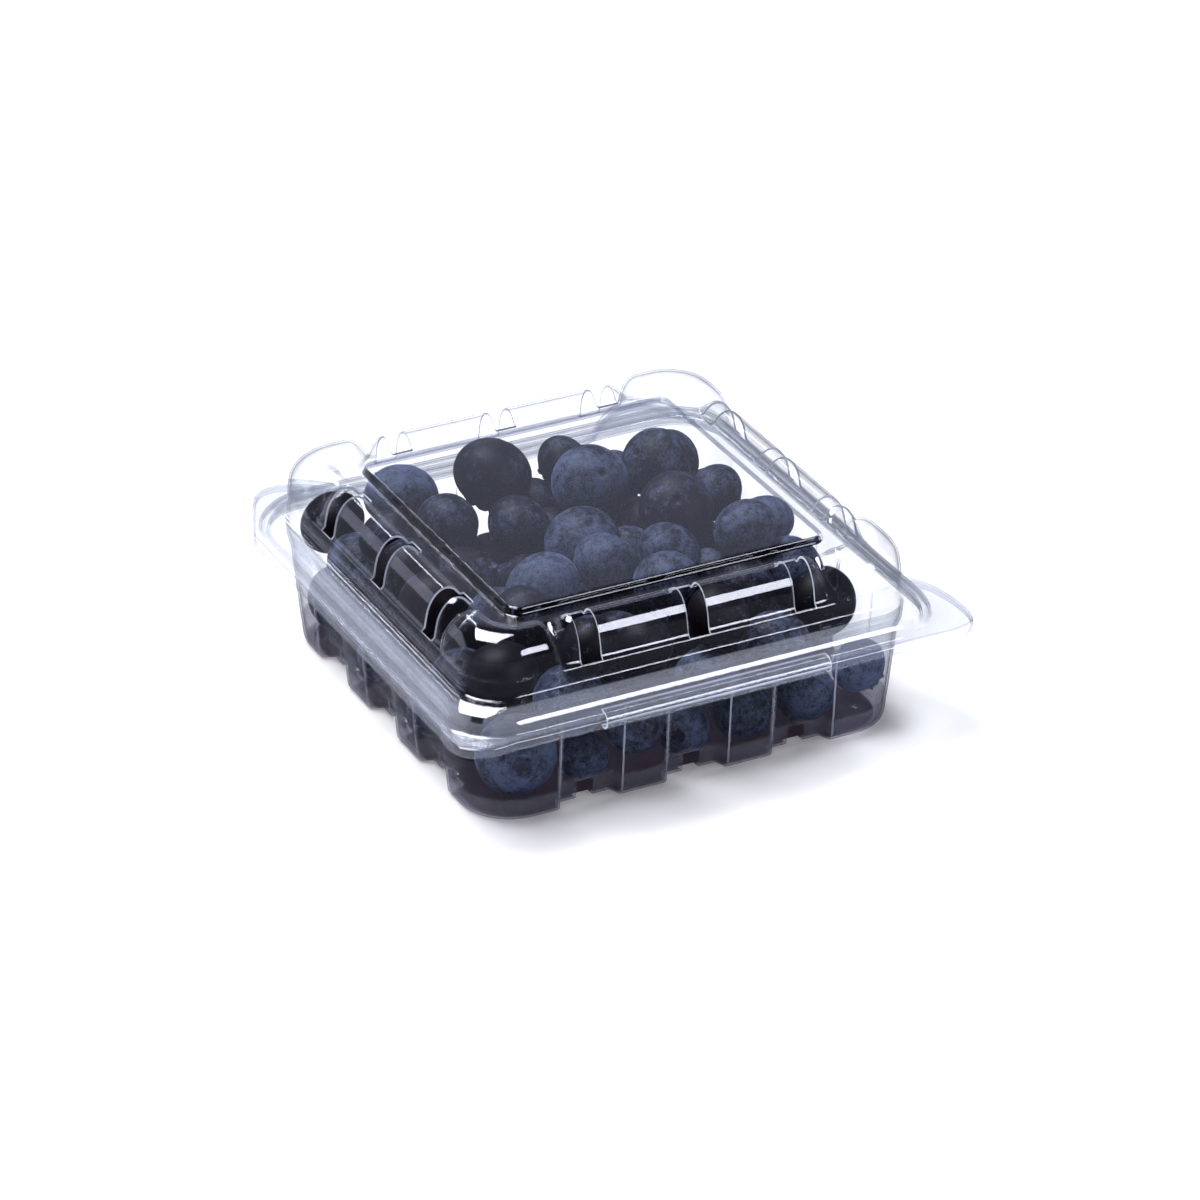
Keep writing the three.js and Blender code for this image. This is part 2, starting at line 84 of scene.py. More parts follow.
# %% [markdown]
# ## Three small helpers for materials
# Colours are written as the hex values a painter reads off a swatch, which are sRGB, while the renderer
# adds light in linear values. One function turns the first into the second, one adds a node, sets it and
# links it, and one starts an empty material.


# %% Colour and node helpers
def linear(hex_colour):
    """An sRGB hex colour as linear red, green, blue and alpha."""
    channels = [int(hex_colour[i:i + 2], 16) / 255 for i in (1, 3, 5)]
    return (*[c / 12.92 if c <= 0.04045 else ((c + 0.055) / 1.055) ** 2.4 for c in channels], 1.0)


def add_node(tree, kind, sockets=None, **settings):
    """Adds a node, applies its settings, and sets or links each named socket."""
    node = tree.nodes.new(kind)
    for key, value in settings.items():
        setattr(node, key, value)
    for key, value in (sockets or {}).items():
        if isinstance(value, bpy.types.NodeSocket):
            tree.links.new(value, node.inputs[key])
        else:
            node.inputs[key].default_value = value
    return node


def new_material(name):
    """An empty node material and its tree."""
    material = bpy.data.materials.new(name)
    material.use_nodes = True
    material.node_tree.nodes.clear()
    return material, material.node_tree


# %% [markdown]
# ## Clear PET
# The pack is thermoformed PET, about half a millimetre thick: glossy and colourless, with a faint waviness
# from the mould that makes reflections of straight lamps wander. A sheet this thin hardly bends what is
# seen through it, so each face mirrors a share of the light, set by its refractive index of about 1.57, and
# lets the rest pass straight on. Where the sheet turns edge-on, more and more of the light scatters, which
# draws the thin lines of a clear pack: pale over dark fruit, grey over white paper. The rim and flange are
# scuffed in stacking, so they scatter all over. The renderer turns the index over on a back face, so it is
# turned over there once more: both faces meet air.

# %% Clear PET material
PET_IOR = 1.57
WAVE_MM, WAVE_HEIGHT_MM, WAVE_STRENGTH = 9.0, 0.2, 0.12
EDGE_SCATTER, EDGE_SHARPNESS = 0.7, 9.0
MIRROR_ROUGHNESS = 0.02


def clear_pet(name, film_colour, haze):
    """Thin PET: mirrors by its index, tints what shows through and scatters as much as its haze says."""
    material, tree = new_material(name)
    place = add_node(tree, "ShaderNodeTexCoord").outputs["Object"]
    wave = add_node(tree, "ShaderNodeTexNoise", {
        "Vector": place, "Scale": 1 / (WAVE_MM * MM), "Detail": 2.0,
    })
    bump = add_node(tree, "ShaderNodeBump", {
        "Height": wave.outputs["Fac"], "Strength": WAVE_STRENGTH, "Distance": WAVE_HEIGHT_MM * MM,
    })
    back = add_node(tree, "ShaderNodeNewGeometry").outputs["Backfacing"]
    index = add_node(tree, "ShaderNodeMapRange", {"Value": back, "To Min": PET_IOR, "To Max": 1 / PET_IOR})
    share = add_node(tree, "ShaderNodeFresnel", {
        "IOR": index.outputs["Result"], "Normal": bump.outputs["Normal"],
    })
    turned = add_node(tree, "ShaderNodeLayerWeight", {"Blend": 0.5}).outputs["Facing"]
    edge_on = add_node(tree, "ShaderNodeMath", {0: turned, 1: EDGE_SHARPNESS}, operation="POWER")
    scatter = add_node(tree, "ShaderNodeMapRange", {
        "Value": edge_on.outputs[0], "To Min": haze, "To Max": EDGE_SCATTER,
    })
    through = add_node(tree, "ShaderNodeBsdfTransparent", {"Color": linear(film_colour)})
    milky = add_node(tree, "ShaderNodeBsdfDiffuse", {"Color": linear("#e6e8f0")})
    body = add_node(tree, "ShaderNodeMixShader", {
        0: scatter.outputs["Result"], 1: through.outputs[0], 2: milky.outputs[0],
    })
    mirror = add_node(tree, "ShaderNodeBsdfAnisotropic", {
        "Color": linear("#ffffff"), "Roughness": MIRROR_ROUGHNESS, "Normal": bump.outputs["Normal"],
    })
    clear = add_node(tree, "ShaderNodeMixShader", {
        0: share.outputs[0], 1: body.outputs[0], 2: mirror.outputs[0],
    })
    add_node(tree, "ShaderNodeOutputMaterial", {"Surface": clear.outputs[0]})
    print("made", material.name)
    return material


CLEAR_FILM = "#fbfcfd"
pet = clear_pet("clear_thermoformed_pet", CLEAR_FILM, 0.0)
scuffed = clear_pet("scuffed_pet_flange", CLEAR_FILM, 0.09)

# %% [markdown]
# ## Folds, bends and floor
# A sharp fold works as a strong lens and traps the light that enters it, so it shows as a dark line. Here
# that line is painted shade: the low step round the lid's panel gets a dark film on the two sides that face
# the viewer and a fainter one on the other two. The foot of the tray, all bends, gets a greyish film with a
# little haze, which paints the shade round its foot. Where the mould stretches the sheet most, along the
# edges of the tray's bays, it turns slightly white. The tray's floor gets a dark purple-grey film: painted
# shade for the paper lying in shadow under the fruit. All five are the same PET with another film or haze.

# %% PET films that paint shade at the fold, foot and floor, and whitened PET
# Painted shade: the dark and the faint film for the step round the lid's panel.
near_fold_painted_shade = clear_pet("painted_shade_fold_near_sides", "#646978", 0.0)
far_fold_painted_shade = clear_pet("painted_shade_fold_far_sides", "#e2e4ec", 0.0)
# Painted shade: a greyish film with a little haze darkens the tray's foot.
foot_painted_shade = clear_pet("painted_shade_pet_foot", "#e6e4ea", 0.07)
whitened = clear_pet("stretched_pet_bend", CLEAR_FILM, 0.3)
# Painted shade: a dark film on the tray's floor stands in for the paper lying in shadow under the fruit.
floor_painted_shade = clear_pet("painted_shade_pet_floor", "#a69eae", 0.0)

# %% [markdown]
# ## Cut edges
# Where the sheet is punched or trimmed, its edge is slightly rough and catches light from all round. It
# reads as a fine pale line round every vent and along the flange, so it has its own dull, nearly white
# finish.

# %% Cut edge material
cut_edge, tree = new_material("trimmed_pet_edge")
dull = add_node(tree, "ShaderNodeBsdfPrincipled", {
    "Base Color": linear("#e9edf6"), "Roughness": 0.45, "IOR": PET_IOR,
})
add_node(tree, "ShaderNodeOutputMaterial", {"Surface": dull.outputs[0]})
print("made", cut_edge.name)

# %% The sheets' finishes, in the order of their slots
FINISHES = (pet, cut_edge, near_fold_painted_shade, far_fold_painted_shade, scuffed, foot_painted_shade, whitened, floor_painted_shade)
CUT_SLOT, NEAR_FOLD, FAR_FOLD, SCUFFED, FOOT, STRETCHED, FLOOR = range(1, len(FINISHES))

# %% [markdown]
# ## How a formed sheet is drawn
# A thermoformed part is one sheet drawn over a mould. Its cross-section is nearly the same all the way
# round, so it is grown outwards from the middle: a ring of edges is extruded again and again, and each new
# ring is laid on the next point of the cross-section. The bends are rounded first, because plastic never
# follows a mould sharply.


# %% Cross-sections
def between(a, b, share):
    """The point at a share of the way from a to b, for points with any number of values."""
    return tuple(p + (q - p) * share for p, q in zip(a, b))


def curve_through(points, parts):
    """A smooth curve through all the points, with so many parts from one point to the next."""
    padded = [points[0], *points, points[-1]]
    curve = [points[0]]
    for a, b, c, d in zip(padded, padded[1:], padded[2:], padded[3:]):
        for part in range(1, parts + 1):
            t = part / parts
            weights = (-t + 2 * t**2 - t**3, 2 - 5 * t**2 + 3 * t**3, t + 4 * t**2 - 3 * t**3, t**3 - t**2)
            sums = [sum(w * v for w, v in zip(weights, values)) for values in zip(a, b, c, d)]
            curve.append(tuple(value / 2 for value in sums))
    return curve


LARGEST_SHARE = 0.48


def rounded(path, bends, steps=4):
    """The path with each bend replaced by a short curve that starts and ends that far from the corner."""
    curve = [path[0]]
    for before, corner, after, bend in zip(path, path[1:], path[2:], bends[1:]):
        if bend == 0:
            curve.append(corner)
            continue
        start = between(corner, before, min(LARGEST_SHARE, bend / math.dist(corner[:2], before[:2])))
        end = between(corner, after, min(LARGEST_SHARE, bend / math.dist(corner[:2], after[:2])))
        for step in range(steps + 1):
            t = step / steps
            curve.append(between(between(start, corner, t), between(corner, end, t), t))
    return [*curve, path[-1]]


def supported(path, longest=1.3, gap=0.3):
    """The path with two more points near the ends of each long straight, which keep its shading flat."""
    points = [path[0]]
    for a, b in zip(path, path[1:]):
        length = math.dist(a[:2], b[:2])
        if length > longest:
            points += [between(a, b, gap / length), between(a, b, 1 - gap / length)]
        points.append(b)
    return points


# %% Rings
CORNER_STEPS = 14
LAST_STATION = 31.8
BEYOND = [0.12, 0.27, 0.42, 0.57, 0.72, 0.87]


def ring_points(half, z, radius, stations, relief):
    """One ring of the sheet: a rounded square whose points the relief moves outwards and upwards."""
    straight = half - radius
    beyond = [LAST_STATION + (straight - LAST_STATION) * share for share in BEYOND]
    along = [-straight, *[-s for s in reversed(beyond)], *stations, *beyond, straight]
    flat_side = [(s, -half, 0.0, -1.0, s) for s in along]
    corner = []
    for step in range(1, CORNER_STEPS):
        angle = step / CORNER_STEPS * math.pi / 2
        nx, ny = math.sin(angle), -math.cos(angle)
        corner.append((straight + radius * nx, -straight + radius * ny, nx, ny, math.inf))
    points = []
    for side in range(4):
        spin = Matrix.Rotation(side * math.pi / 2, 2)
        for x, y, nx, ny, s in flat_side + corner:
            place, normal = spin @ Vector((x, y)), spin @ Vector((nx, ny))
            out, up = relief(s, place, normal)
            place += normal * out
            points.append(Vector((place.x, place.y, z + up)) * MM)
    return points


def grow_sheet(bm, rings):
    """Fills the first ring, then extrudes the sheet's open edge from ring to ring."""
    verts = [bm.verts.new(point) for point in rings[0]]
    bm.faces.new(verts)
    edge = [bm.edges.get(pair) for pair in zip(verts, verts[1:] + verts[:1])]
    for ring in rings[1:]:
        grown = bmesh.ops.extrude_edge_only(bm, edges=edge)["geom"]
        fresh = {part for part in grown if isinstance(part, bmesh.types.BMVert)}
        edge = [part for part in grown if isinstance(part, bmesh.types.BMEdge) and set(part.verts) <= fresh]
        verts = [next(e.other_vert(v) for e in v.link_edges if e.other_vert(v) in fresh) for v in verts]
        for vert, point in zip(verts, ring):
            vert.co = point


# %% [markdown]
# ## The pack's outline
# The flange has an ear at each corner: two long ones on the opening side, to pull the lid open, a shorter
# one at one end of the hinge and a very slight one at the other. Each is drawn as a line round its corner,
# and the sheet's edge is pushed out until it meets the line.

# %% Ears
FLANGE_HALF = 55.3
CURVE_STEPS = 10
NEARLY_PARALLEL = 1e-9


def bent_line(start, *moves):
    """A line through the moves: a pair of numbers is a corner, two pairs are a curve's handle and end."""
    line = [start]
    for move in moves:
        if len(move) == 2 and not isinstance(move[0], tuple):
            line.append(move)
            continue
        handle, end = move
        begin = line[-1]
        for step in range(1, CURVE_STEPS + 1):
            t = step / CURVE_STEPS
            line.append(between(between(begin, handle, t), between(handle, end, t), t))
    return line


def opening_ear(side):
    """The long ear on the opening side, to the left (-1) or right (1)."""
    points = bent_line(
        (28, 54.7), ((31, 59.5), (37, 64.0)), ((45.4, 68.6), (48.8, 60.5)), (55.3, 46), (54.7, 42),
    )
    return [(side * x, y) for x, y in points]


EARS = [
    bent_line(
        (-54.7, -42), ((-55.9, -46), (-55.6, -49.5)), ((-55, -55), (-49.5, -55.6)),
        ((-46, -55.9), (-42, -54.7)),
    ),
    bent_line(
        (42, -54.7), (46, -55.3), (55, -55.3), ((61.6, -54.5), (62, -47.5)), ((62.2, -40), (60.4, -35)),
        ((58.4, -31), (54.7, -28)),
    ),
    opening_ear(-1),
    opening_ear(1),
]


def ear_reach(place, normal):
    """How far the edge at this place goes out to its ear's line, in millimetres."""
    reach = 0.0
    for ear in EARS:
        for a, b in zip(ear, ear[1:]):
            along, start = Vector(b) - Vector(a), Vector(a) - place
            cross = normal.x * along.y - normal.y * along.x
            if abs(cross) < NEARLY_PARALLEL:
                continue
            distance = (start.x * along.y - start.y * along.x) / cross
            share = (start.x * normal.y - start.y * normal.x) / cross
            if 0 <= share <= 1:
                reach = max(reach, distance)
    return reach


print("ears have", [len(ear) for ear in EARS], "points")

# %% [markdown]
# ## The lid's cross-section
# Each point is a half-width, a height and a corner radius; on the shoulder two more numbers say how far the
# corner's dome goes out and up there. The points make a raised panel, a flat groove round it, a rounded
# shoulder that carries the vent slots, a rim that drops over the tray's bead, and a flat flange. Each
# corner of the shoulder swells into a dome, and a dip on either side of it separates it from the straight
# run: that stiffens a lid this thin.

# %% Lid section
SHEET = 0.45
RIM_RADIUS = 12.4
RADIUS_SLOPE = 0.55
VENT_PLACES = (-23.9, 0.0, 23.9)
LID_VENT_HALF = 2.3
VALLEY_AT, VALLEY_HALF, VALLEY_DEPTH, DOME_START = 30.0, 1.7, 0.85, 31.8
SHOULDER_PARTS = 5


def rim_radius(half):
    """Corner radius at a half-width: it shrinks from the flange inwards."""
    return RIM_RADIUS - (FLANGE_HALF - half) * RADIUS_SLOPE


def with_bulge(shoulder):
    """Adds to each shoulder point how far it stands out from the straight line between the two ends."""
    (half_a, z_a), (half_b, z_b) = shoulder[0][:2], shoulder[-1][:2]
    full = []
    for i, (half, z, radius, dome_out, dome_up) in enumerate(shoulder):
        share = i / (len(shoulder) - 1)
        bulge = (half - half_a - share * (half_b - half_a), z - z_a - share * (z_b - z_a))
        full.append((half, z, radius, *bulge, dome_out, dome_up, 0.0))
    return full


def plain(half, z, radius=None, ear=0.0):
    """A ring of the lid without any shoulder relief."""
    return (half, z, rim_radius(half) if radius is None else radius, 0, 0, 0, 0, ear)


lid_shoulder = curve_through(with_bulge([
    (39.8, 39.3, 6.0, 0, 0), (41.1, 40.8, 6.4, 0.1, 0.2), (43.0, 41.4, 7.0, 0.5, 0.5),
    (45.2, 40.4, 7.6, 1.2, 0.5), (47.0, 37.6, 8.0, 1.7, 0.3), (47.9, 33.4, 8.3, 1.3, 0),
]), SHOULDER_PARTS)
lid_inner = [plain(34.0, 41.0, 2.2), plain(35.2, 41.0, 2.6), plain(35.7, 39.3, 3.0), plain(39.0, 39.3, 5.4)]
lid_rim = [
    plain(48.8, 32.7), plain(49.2, 29.3), plain(50.8, 29.2), plain(53.2, 27.8), plain(54.3, 26.0),
    plain(54.4, 24.35), plain(55.3, 24.35, ear=1.0),
]
lid_path = lid_inner + lid_shoulder + lid_rim
lid_bends = [0, 0.55, 0.5, 0] + [0] * len(lid_shoulder) + [0.5, 0.7, 0.8, 1.2, 0.8, 0.4, 0]
lid_section = supported(rounded(lid_path, lid_bends))
print("the lid has", len(lid_section), "rings")

# %% Lid sheet


def smooth_step(value, low, high):
    """0 below low, 1 above high, and an even S between."""
    share = min(1.0, max(0.0, (value - low) / (high - low)))
    return share * share * (3 - 2 * share)


def lid_relief(ring):
    """How a ring of the lid leaves its plain outline: dips, domes and ears."""
    _, _, _, bulge_out, bulge_up, dome_out, dome_up, ear = ring

    def relief(along, place, normal):
        distance = min(abs(along), FLANGE_HALF)
        valley = VALLEY_DEPTH * math.exp(-(((distance - VALLEY_AT) / VALLEY_HALF) ** 2))
        dome = smooth_step(distance, VALLEY_AT, DOME_START)
        reach = ear * ear_reach(place, normal) if ear else 0.0
        return dome * dome_out - valley * bulge_out + reach, dome * dome_up - valley * bulge_up

    return relief


def mirrored(values):
    """The values and their negatives, in order."""
    return sorted({*values, *[-value for value in values]})


vent_edges = [abs(place + side * LID_VENT_HALF) for place in VENT_PLACES for side in (-1, 1)]
valley_stations = [27.0, 28.0, 28.7, 29.3, 29.8, 30.2, 30.7, 31.2]
lid_stations = mirrored([0, 7, 12, 17, *vent_edges, *valley_stations, LAST_STATION])
lid_rings = [ring_points(*ring[:3], lid_stations, lid_relief(ring)) for ring in lid_section]


def whereabouts(face):
    """How far out a face lies, how far along its side from the nearest vent's middle, and how high."""
    middle = face.calc_center_median() / MM
    along = min(middle.x, middle.y, key=abs)
    nearest = min(abs(along - place) for place in VENT_PLACES)
    return max(abs(middle.x), abs(middle.y)), nearest, middle.z


def punch_vents(bm, half_width, band, heights):
    """Punches the twelve vents: deletes the faces within their width, their band and their heights."""
    slots = []
    for face in bm.faces:
        out, nearest, z = whereabouts(face)
        if nearest < half_width and band[0] < out < band[1] and heights[0] < z < heights[1]:
            slots.append(face)
    print(len(slots), "of", len(bm.faces), "faces are punched out")
    bmesh.ops.delete(bm, geom=slots, context="FACES")


def finish_sheet(bm, name, body, node):
    """Turns the sheet into an object with both faces, smooth shading, sharp cut edges and its finish."""
    mesh = bpy.data.meshes.new(name)
    for edge in bm.edges:
        edge.smooth = not edge.is_boundary
    bm.to_mesh(mesh)
    bm.free()
    mesh.shade_smooth()
    piece = bpy.data.objects.new(name, mesh)
    scene.collection.objects.link(piece)
    for finish in FINISHES:
        mesh.materials.append(finish)
    wall = piece.modifiers.new("sheet_thickness", "SOLIDIFY")
    wall.thickness = SHEET * MM
    wall.offset = -1.0
    wall.material_offset_rim = CUT_SLOT
    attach(piece, body)
    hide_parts(node)


SCUFFS_START = 50.8


def mark_scuffed(bm, top):
    """Gives the rim and flange their scuffed finish: the faces furthest out, up to a height."""
    for face in bm.faces:
        out, _, z = whereabouts(face)
        if out > SCUFFS_START and z < top:
            face.material_index = SCUFFED


HINGE_HALF_LENGTH, HINGE_RADIUS, HINGE_HEIGHT = 25.0, 2.0, 23.75
HINGE_OPEN_ANGLE, HINGE_STEPS, HINGE_OVERLAP = 4.3, 8, 0.9


def hinge_half(bm, direction):
    """Adds one half of the rolled hinge: a quarter-round strip above (1) or below (-1) the hinge line."""
    line = []
    for step in range(HINGE_STEPS + 1):
        angle = math.radians(HINGE_OPEN_ANGLE + (90 - HINGE_OPEN_ANGLE) * step / HINGE_STEPS)
        line.append((-FLANGE_HALF - HINGE_RADIUS * math.cos(angle), HINGE_RADIUS * math.sin(angle)))
    line.append((HINGE_OVERLAP - FLANGE_HALF, HINGE_RADIUS))
    points = [Vector((-HINGE_HALF_LENGTH, y, HINGE_HEIGHT + direction * z)) * MM for y, z in line]
    verts = [bm.verts.new(point) for point in points]
    edges = [bm.edges.new(pair) for pair in zip(verts, verts[1:])]
    strip = bmesh.ops.extrude_edge_only(bm, edges=edges)["geom"]
    moved = [part for part in strip if isinstance(part, bmesh.types.BMVert)]
    bmesh.ops.translate(bm, vec=Vector((2 * HINGE_HALF_LENGTH * MM, 0, 0)), verts=moved)
    outside = Vector((0, -1, direction))
    for face in (part for part in strip if isinstance(part, bmesh.types.BMFace)):
        face.normal_update()
        if face.normal.dot(outside) < 0:
            face.normal_flip()


# %% The lid, punched and finished
LID_VENT_BAND, LID_VENT_HEIGHTS = (39.0, 48.6), (32.8, 50.0)
LID_SCUFF_TOP = 29.0
FOLD_BAND, FOLD_HEIGHTS = (34.9, 36.0), (39.4, 40.9)

bm = bmesh.new()
grow_sheet(bm, lid_rings)
punch_vents(bm, LID_VENT_HALF, LID_VENT_BAND, LID_VENT_HEIGHTS)
bmesh.ops.recalc_face_normals(bm, faces=bm.faces)
if max(bm.faces, key=lambda face: face.calc_center_median().z).normal.z < 0:
    bmesh.ops.reverse_faces(bm, faces=bm.faces)
mark_scuffed(bm, LID_SCUFF_TOP)
# The step round the panel gets the fold films: painted shade, dark on the two sides that face the viewer,
# faint on the others.
for face in bm.faces:
    out, _, z = whereabouts(face)
    if FOLD_BAND[0] < out < FOLD_BAND[1] and FOLD_HEIGHTS[0] < z < FOLD_HEIGHTS[1]:
        middle = face.calc_center_median() / MM
        face.material_index = NEAR_FOLD if max(middle.x, middle.y) < FOLD_BAND[0] else FAR_FOLD
hinge_half(bm, 1)
print("the lid has", len(bm.faces), "faces")
finish_sheet(bm, "lid_sheet", "lid", "punnet_lid")

# %% [markdown]
# ## The tray
# Each point is a half-width, a height, a corner radius, the depth of the bays there, and 1 where the ears
# belong. The walls lean outwards so that trays stack. Each wall has three shallow bays with a vent slot at
# the foot of each: the bays stiffen the wall and let air in when packs stand side by side. At the top the
# wall rolls into a bead that the lid snaps over, and the flange ends in a short lip that points down, so
# the edge isn't sharp.

# %% Tray section
TRAY_VENT_HALF = 2.0
BAY_HALF, BAY_FLANK = 5.8, 1.0
BAY_LOW, BAY_HIGH = 2.6, 1.2

tray_bead = [
    (49.5, 27.4, 0), (50.7, 27.5, 0), (52.4, 25.6, 0), (52.7, 23.15, 0), (54.8, 23.15, 1), (54.8, 21.6, 1),
]
tray_path = [
    (44.8, 0.0, 9.4, BAY_LOW, 0), (46.4, 0.0, 10.2, BAY_LOW, 0), (47.3, 0.35, 10.7, BAY_LOW, 0),
    (47.65, 1.5, 11.0, BAY_LOW, 0), (47.86, 4.6, 11.0, BAY_LOW, 0), (47.9, 4.9, 11.0, BAY_LOW, 0),
    (48.0, 5.8, 11.0, BAY_HIGH, 0), (49.2, 22.0, 10.8, BAY_HIGH, 0), (49.35, 24.2, 9.1, 0, 0),
    *[(half, z, rim_radius(half), 0, ear) for half, z, ear in tray_bead],
]
tray_bends = [0, 0.9, 0.9, 0.9, 0, 0.3, 0.5, 0.9, 0, 0.5, 0.6, 0.9, 0.5, 0.45, 0]
tray_section = supported(rounded(tray_path, tray_bends))
print("the tray has", len(tray_section), "rings")

# %% Tray sheet
BAY_EASE, BETWEEN_BAYS = 0.2, 12
TRAY_EAR_SHORTER = 0.5


def tray_relief(ring):
    """How a ring of the tray leaves its plain outline: bays in the walls, ears on the flange."""
    _, _, _, bay, ear = ring

    def relief(along, place, normal):
        nearest = min(abs(along - vent) for vent in VENT_PLACES)
        share = 1 - smooth_step(nearest, BAY_HALF - BAY_EASE, BAY_HALF + BAY_FLANK + BAY_EASE)
        reach = ear * max(0.0, ear_reach(place, normal) - TRAY_EAR_SHORTER) if ear else 0.0
        return reach - bay * share, 0.0

    return relief


bay_edges = [0.0, 5.4, 5.8, 6.1, 6.4, 6.8, 7.2]
tray_stations = {-LAST_STATION, LAST_STATION, -BETWEEN_BAYS, BETWEEN_BAYS}
for place in VENT_PLACES:
    tray_stations |= {place + side * edge for side in (-1, 1) for edge in [TRAY_VENT_HALF, *bay_edges]}
tray_stations = sorted(station for station in tray_stations if abs(station) <= LAST_STATION)
tray_rings = [ring_points(*ring[:3], tray_stations, tray_relief(ring)) for ring in tray_section]

# %% The tray, punched and finished
TRAY_VENT_BAND, TRAY_VENT_HEIGHTS = (41.2, 52.0), (-1.0, 4.6)
TRAY_SCUFF_TOP = 27.0
BEND_HEIGHTS = (0.4, 22.0)
FLOOR_TOP, FOOT_TOP = 0.005, 5.0

bm = bmesh.new()
grow_sheet(bm, tray_rings)
punch_vents(bm, TRAY_VENT_HALF, TRAY_VENT_BAND, TRAY_VENT_HEIGHTS)
bmesh.ops.recalc_face_normals(bm, faces=bm.faces)
if min(bm.faces, key=lambda face: face.calc_center_median().z).normal.z > 0:
    bmesh.ops.reverse_faces(bm, faces=bm.faces)
mark_scuffed(bm, TRAY_SCUFF_TOP)
# Whitened PET along the bays' edges; below the foot's top a film that paints shade, and on the floor a
# darker one.
for face in bm.faces:
    _, nearest, z = whereabouts(face)
    if BEND_HEIGHTS[0] < z < BEND_HEIGHTS[1] and bay_edges[-2] < nearest < bay_edges[-1]:
        face.material_index = STRETCHED
    elif z < FOOT_TOP:
        face.material_index = FLOOR if z < FLOOR_TOP else FOOT
hinge_half(bm, -1)
print("the tray has", len(bm.faces), "faces")
finish_sheet(bm, "tray_sheet", "tray", "punnet_tray")

# %% [markdown]
# ## Where the berries lie
# Loose berries lie against each other in a disorderly heap, touching the walls. The ones that show best
# have their own places: a middle and a diameter, in millimetres. The rest start in loose rows, layer on
# layer, but not near the lid at the back and on the right, where the heap is lower. They are pushed apart
# wherever two overlap, and are kept inside the pack: a small stand-in for shaking the punnet. The random
# numbers come from a fixed seed, so every run gives the same heap.

# %% Places of the berries
PLACED_BERRIES = [
    (-25.5, 36.8, 30.0, 15.6), (-3.8, 38.0, 29.8, 16.8), (12.7, 37.8, 28.8, 11.8),
    (11.5, 22.8, 31.0, 16.6), (27.9, 25.1, 31.0, 15.0), (22.3, 4.8, 31.0, 16.0),
    (36.0, 13.5, 27.6, 12.4), (31.2, -9.0, 30.6, 13.6), (39.7, -1.7, 27.0, 12.0),
    (-0.6, 2.0, 29.4, 16.4), (-2.6, -11.8, 32.4, 13.4), (-17.9, -14.3, 31.5, 16.0),
    (13.4, -9.3, 29.6, 13.6), (6.0, -21.7, 31.0, 13.4), (-8.1, 16.4, 28.6, 14.0),
    (-22.6, 20.4, 31.2, 13.0),
    (-36.2, -38.9, 10.3, 16.6), (-11.2, -41.0, 12.4, 13.0), (1.1, -39.0, 6.7, 11.4),
    (15.0, -38.7, 7.2, 12.6), (29.6, -38.0, 8.0, 13.8), (40.6, -40.8, 11.8, 11.8),
    (-21.6, -39.1, 6.6, 10.8), (-39.6, -23.4, 7.4, 12.4), (-41.0, -11.4, 8.0, 12.6),
    (-41.2, 12.0, 8.2, 12.2),
]
HEAP_SEED, SKIN_SEED = 20260, 4711
RANDOM_FACTOR, RANDOM_LIMIT = 16807, 2147483647
LAYERS = [(8.0, 6, 15.6), (19.0, 6, 15.6), (29.5, 6, 15.6)]
FILLER_DIAMETER = (12.6, 15.6)
FILLER_JITTER, UPRIGHT_SHARE = 1.6, 0.5
FREE_SHARE, TOUCH_SHARE = 0.72, 0.97
SETTLE_ROUNDS = 60
WALL_GAP = 0.45
CAD_SHEET = 0.5
FILLER_SWELL = 1.06
HEADROOM = {"x": 35, "y": 24, "z": 24}
WALL_FOOT_HALF, WALL_LEAN, WALL_TOP, STEP_HEIGHT = 47.5, 0.08, 22, 5.8
SHOULDER_START, SHOULDER_CROWDING = 30, 0.35
CORNER_MIDDLE, CORNER_ROOM = 37.0, 10.6
PANEL_HALF, PANEL_HEIGHT, GROOVE_HEIGHT = 35.0, 41.0, 39.3
NEAR_TOP_SHARE = 0.7


def random_stream(seed):
    """A repeatable stream of numbers from 0 to 1."""
    state = seed
    while True:
        state = state * RANDOM_FACTOR % RANDOM_LIMIT
        yield state / RANDOM_LIMIT


def room_for(berry, reach, along):
    """How far out a berry's middle may lie towards a wall: less where the wall's bays stand in its way."""
    wall = WALL_FOOT_HALF - CAD_SHEET - WALL_GAP + min(berry["z"], WALL_TOP) * WALL_LEAN
    to_bay = min(abs(along - place) for place in VENT_PLACES) - BAY_HALF - BAY_FLANK
    beside = math.sqrt(max(0.0, reach * reach - max(0.0, to_bay) ** 2))
    over_step = max(0.0, berry["z"] - STEP_HEIGHT)
    at_step = math.sqrt(max(0.0, beside * beside - over_step * over_step))
    under_shoulder = max(0.0, berry["z"] - SHOULDER_START) * SHOULDER_CROWDING
    return min(wall - reach, wall - BAY_HIGH - beside, wall - BAY_LOW - at_step) - under_shoulder


def clear_of_corner(berry, reach):
    """Draws a berry back from the round corner between two walls."""
    corner = CORNER_MIDDLE + min(berry["z"], WALL_TOP) * WALL_LEAN
    over = [max(0.0, abs(berry[axis]) - corner) for axis in "xy"]
    spare = max(0.0, CORNER_ROOM - CAD_SHEET - WALL_GAP - reach)
    distance = math.hypot(*over)
    if distance > spare:
        for axis, part in zip("xy", over):
            berry[axis] -= math.copysign(part * (1 - spare / distance), berry[axis])


def ceiling_for(berry, reach):
    """How high a berry's middle may lie: lower under the groove than under the panel."""
    under_panel = max(abs(berry["x"]), abs(berry["y"])) + reach * NEAR_TOP_SHARE < PANEL_HALF
    return (PANEL_HEIGHT if under_panel else GROOVE_HEIGHT) - CAD_SHEET - WALL_GAP - reach


